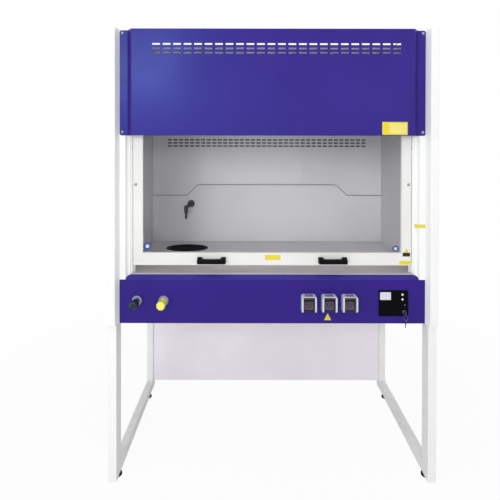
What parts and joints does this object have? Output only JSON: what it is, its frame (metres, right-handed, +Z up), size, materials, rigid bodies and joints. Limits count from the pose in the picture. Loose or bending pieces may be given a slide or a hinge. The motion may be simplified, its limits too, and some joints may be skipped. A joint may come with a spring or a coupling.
{
  "type": "chemical fume hood",
  "caption": "Free-standing chemical fume hood on a tube stand with a counterbalanced vertical sash, slotted head panel, service apron and lined chamber.",
  "frame": {"origin": "bottom centre of the hood's bounding box, on the floor", "axes": "+Z up, +X to the right seen from the front, the sash faces -Y"},
  "size_m": [1.6, 0.939, 2.215],
  "materials": {
    "white_paint": "satin powder coat",
    "blue_paint": "gloss powder coat",
    "sash_white": "white coated",
    "sash_glass": "clear",
    "liner_grey": "matt laminate",
    "worktop_grey": "satin",
    "black_plastic": "satin",
    "guide_metal": "anodised",
    "zinc_steel": "zinc plated",
    "cable_steel": "stranded",
    "pulley_plastic": "satin",
    "counterweight_steel": "painted",
    "runner_plastic": "slick",
    "diffuser": "frosted",
    "brass": "machined",
    "copper_pipe": "drawn",
    "outlet_coat": "epoxy",
    "flange_grey": "satin",
    "green_plastic": "gloss",
    "yellow_plastic": "gloss",
    "socket_grey": "satin",
    "socket_insert": "satin",
    "smoked_lid": "smoked",
    "panel_black": "satin",
    "button_white": "satin",
    "lens": "clear",
    "key_nickel": "nickel"
  },
  "bodies": {
    "cabinet": {"left_side_frame": "white_paint", "right_side_frame": "white_paint", "cross_rails": "white_paint", "floor_pads": "black_plastic", "left_outer_panel": "white_paint", "right_outer_panel": "white_paint", "left_front_post": "white_paint", "right_front_post": "white_paint", "sash_guides": "guide_metal", "fascia": "blue_paint", "fascia_screws": "zinc_steel", "apron": "blue_paint", "worktop": "worktop_grey", "drip_cup": "black_plastic", "side_liners": "liner_grey", "roof_panel": "liner_grey", "exhaust_collar": "zinc_steel", "lamp_housing": "white_paint", "lamp_diffuser": "diffuser", "upper_baffle": "liner_grey", "lower_baffle": "liner_grey", "baffle_spacers": "liner_grey", "inner_rear_wall": "liner_grey", "rear_cover": "white_paint", "rear_lower_panel": "white_paint", "pulley_brackets": "zinc_steel", "pulley_axles": "zinc_steel", "top_cables": "cable_steel", "front_cables": "cable_steel", "rear_cables": "cable_steel", "valve_flanges": "flange_grey", "valve_bodies": "brass", "water_outlet": "outlet_coat", "water_pipe": "copper_pipe", "socket_housings": "socket_grey", "socket_inserts": "socket_insert", "control_panel": "panel_black", "indicator_lamp": "lens", "key_lock": "key_nickel"},
    "sash": {"sash_frame": "sash_white", "sash_glass": "sash_glass", "sash_handles": "black_plastic", "sash_screws": "zinc_steel", "sash_runners": "runner_plastic"},
    "counterweight": {"counterweight": "counterweight_steel"},
    "left_front_pulley": {"left_front_pulley": "pulley_plastic"},
    "right_front_pulley": {"right_front_pulley": "pulley_plastic"},
    "left_rear_pulley": {"left_rear_pulley": "pulley_plastic"},
    "right_rear_pulley": {"right_rear_pulley": "pulley_plastic"},
    "water_knob": {"water_knob": "green_plastic"},
    "gas_knob": {"gas_knob": "yellow_plastic"},
    "left_lid": {"left_socket_lid": "smoked_lid"},
    "middle_lid": {"middle_socket_lid": "smoked_lid"},
    "right_lid": {"right_socket_lid": "smoked_lid"},
    "upper_button": {"upper_button": "button_white"},
    "lower_button": {"lower_button": "button_white"},
    "key": {"lock_barrel": "key_nickel", "lock_key": "key_nickel"},
    "key_ring": {"key_ring": "key_nickel"},
    "spare_key": {"spare_key": "key_nickel"}
  },
  "joints": [
    {"name": "sash_slide", "type": "slide", "parent": "cabinet", "child": "sash", "axis": [0, 0, 1], "range_m": [-0.038, 0.46], "deforming": ["front_cables"]},
    {"name": "counterweight_slide", "type": "slide", "parent": "cabinet", "child": "counterweight", "axis": [0, 0, 1], "range_m": [-0.46, 0.038], "deforming": ["rear_cables"]},
    {"name": "left_front_pulley_turn", "type": "hinge", "parent": "cabinet", "child": "left_front_pulley", "pos_m": [-0.6975, -0.3275, 2.181], "axis": [1, 0, 0], "range_deg": [-1100, 92]},
    {"name": "left_rear_pulley_turn", "type": "hinge", "parent": "cabinet", "child": "left_rear_pulley", "pos_m": [-0.6975, 0.4105, 2.181], "axis": [1, 0, 0], "range_deg": [-1100, 92]},
    {"name": "right_front_pulley_turn", "type": "hinge", "parent": "cabinet", "child": "right_front_pulley", "pos_m": [0.6975, -0.3275, 2.181], "axis": [1, 0, 0], "range_deg": [-1100, 92]},
    {"name": "right_rear_pulley_turn", "type": "hinge", "parent": "cabinet", "child": "right_rear_pulley", "pos_m": [0.6975, 0.4105, 2.181], "axis": [1, 0, 0], "range_deg": [-1100, 92]},
    {"name": "water_knob_turn", "type": "hinge", "parent": "cabinet", "child": "water_knob", "pos_m": [-0.664, -0.4305, 0.887], "axis": [0, -1, 0], "range_deg": [0, 630]},
    {"name": "gas_knob_turn", "type": "hinge", "parent": "cabinet", "child": "gas_knob", "pos_m": [-0.533, -0.4305, 0.887], "axis": [0, -1, 0], "range_deg": [0, 90]},
    {"name": "left_lid_hinge", "type": "hinge", "parent": "cabinet", "child": "left_lid", "pos_m": [0.1764, -0.4295, 0.913], "axis": [-1, 0, 0], "range_deg": [0, 85]},
    {"name": "middle_lid_hinge", "type": "hinge", "parent": "cabinet", "child": "middle_lid", "pos_m": [0.2756, -0.4295, 0.913], "axis": [-1, 0, 0], "range_deg": [0, 85]},
    {"name": "right_lid_hinge", "type": "hinge", "parent": "cabinet", "child": "right_lid", "pos_m": [0.3748, -0.4295, 0.913], "axis": [-1, 0, 0], "range_deg": [0, 85]},
    {"name": "upper_button_press", "type": "slide", "parent": "cabinet", "child": "upper_button", "axis": [0, 1, 0], "range_m": [0, 0.003], "stiffness_N_per_m": 400},
    {"name": "lower_button_press", "type": "slide", "parent": "cabinet", "child": "lower_button", "axis": [0, 1, 0], "range_m": [0, 0.003], "stiffness_N_per_m": 400},
    {"name": "key_turn", "type": "hinge", "parent": "cabinet", "child": "key", "pos_m": [0.6456, -0.4005, 0.833], "axis": [0, 1, 0], "range_deg": [0, 90]},
    {"name": "key_ring_swing", "type": "hinge", "parent": "key", "child": "key_ring", "pos_m": [0.6456, -0.4155, 0.82505], "axis": [-1, 0, 0], "range_deg": [-8, 70]},
    {"name": "spare_key_swing", "type": "hinge", "parent": "key_ring", "child": "spare_key", "pos_m": [0.6456, -0.4155, 0.80105], "axis": [-1, 0, 0], "range_deg": [-8, 60]}
  ],
  "couplings": [
    {"joint": "counterweight_slide", "follows": "sash_slide", "ratio": -1},
    {"joint": "left_front_pulley_turn", "follows": "sash_slide", "rad_per_m": -41.667},
    {"joint": "left_rear_pulley_turn", "follows": "sash_slide", "rad_per_m": -41.667},
    {"joint": "right_front_pulley_turn", "follows": "sash_slide", "rad_per_m": -41.667},
    {"joint": "right_rear_pulley_turn", "follows": "sash_slide", "rad_per_m": -41.667}
  ]
}
